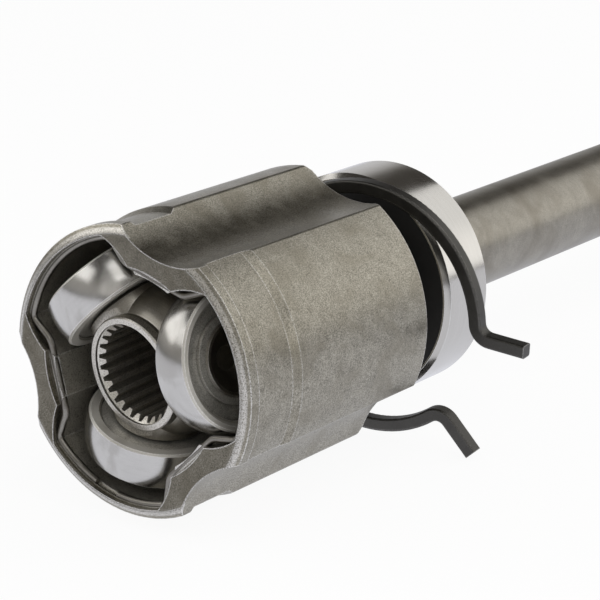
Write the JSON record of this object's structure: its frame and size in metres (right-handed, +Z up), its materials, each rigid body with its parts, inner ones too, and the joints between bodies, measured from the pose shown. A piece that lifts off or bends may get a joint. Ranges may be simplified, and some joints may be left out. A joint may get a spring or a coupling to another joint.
{
  "type": "constant velocity joint",
  "caption": "Tripod type plunging constant velocity joint with fluted bell housing, rollers on needle bearings, stub shaft, support bearing and its leg clip.",
  "frame": {"origin": "joint centre, where the three trunnion axes meet, on the bell's axis", "axes": "+X along the bell and shaft axis toward the splined end of the stub shaft, +Z up"},
  "size_m": [0.3387, 0.0935, 0.077],
  "materials": {
    "forged_steel": "forged and phosphated, grainy satin",
    "turned_steel": "fine turned, oiled satin",
    "hardened_steel": "machined and hardened, satin",
    "bearing_steel": "ground and polished",
    "spring_steel": "dark oiled spring steel",
    "black_steel": "black oxide, satin",
    "seal_rubber": "moulded nitrile rubber",
    "cage_polyamide": "moulded polyamide"
  },
  "bodies": {
    "housing": {"tulip_housing": "forged_steel", "stub_shaft": "turned_steel", "stop_wire_ring": "spring_steel", "bearing_inner_race": "bearing_steel", "oil_flinger": "black_steel", "seat_snap_ring": "spring_steel", "differential_clip": "spring_steel"},
    "needle_bearing_a": {"needles_a": "bearing_steel"},
    "spider": {"spider": "hardened_steel", "needle_washers_a": "spring_steel", "needle_washers_b": "spring_steel", "needle_washers_c": "spring_steel", "trunnion_ring_a": "spring_steel", "trunnion_ring_b": "spring_steel", "trunnion_ring_c": "spring_steel"},
    "roller_a": {"roller_a": "bearing_steel"},
    "roller_b": {"roller_b": "bearing_steel"},
    "roller_c": {"roller_c": "bearing_steel"},
    "needle_bearing_b": {"needles_b": "bearing_steel"},
    "needle_bearing_c": {"needles_c": "bearing_steel"},
    "outer_race": {"bearing_outer_race": "bearing_steel", "bearing_seal_front": "seal_rubber", "bearing_seal_back": "seal_rubber"},
    "ball_set": {"bearing_balls": "bearing_steel", "bearing_cage": "cage_polyamide"},
    "bracket_clip": {"bracket_clip": "black_steel"}
  },
  "joints": [
    {"name": "plunge", "type": "slide", "parent": "housing", "child": "needle_bearing_a", "axis": [1, 0, 0], "range_m": [0, 0.025]},
    {"name": "articulation", "type": "hinge", "parent": "needle_bearing_a", "child": "spider", "pos_m": [0, 0, 0], "axis": [0, 0.6947, 0.7193], "range_deg": [0, 19.6]},
    {"name": "roller_a_spin", "type": "hinge", "parent": "needle_bearing_a", "child": "roller_a", "pos_m": [0, 0, 0], "axis": [0, 0.6947, 0.7193], "continuous": true},
    {"name": "roller_b_spin", "type": "hinge", "parent": "spider", "child": "roller_b", "pos_m": [0, 0, 0], "axis": [-0.14, -0.9621, 0.234], "continuous": true},
    {"name": "roller_c_spin", "type": "hinge", "parent": "spider", "child": "roller_c", "pos_m": [0, 0, 0], "axis": [0.14, 0.2674, -0.9534], "continuous": true},
    {"name": "needles_b_roll", "type": "hinge", "parent": "spider", "child": "needle_bearing_b", "pos_m": [0, 0, 0], "axis": [-0.14, -0.9621, 0.234], "continuous": true},
    {"name": "needles_c_roll", "type": "hinge", "parent": "spider", "child": "needle_bearing_c", "pos_m": [0, 0, 0], "axis": [0.14, 0.2674, -0.9534], "continuous": true},
    {"name": "outer_race_spin", "type": "hinge", "parent": "housing", "child": "outer_race", "pos_m": [0.0875, 0, 0], "axis": [1, 0, 0], "continuous": true},
    {"name": "ball_set_roll", "type": "hinge", "parent": "housing", "child": "ball_set", "pos_m": [0.0875, 0, 0], "axis": [1, 0, 0], "continuous": true},
    {"name": "bracket_clip_turn", "type": "hinge", "parent": "housing", "child": "bracket_clip", "pos_m": [0.0731, -0.00871, -0.0028], "axis": [0.9963, 0.0539, 0.0667], "continuous": true}
  ],
  "couplings": [
    {"joint": "needles_b_roll", "follows": "roller_b_spin", "ratio": 0.56858},
    {"joint": "needles_c_roll", "follows": "roller_c_spin", "ratio": 0.56858},
    {"joint": "ball_set_roll", "follows": "outer_race_spin", "ratio": 0.59608}
  ]
}
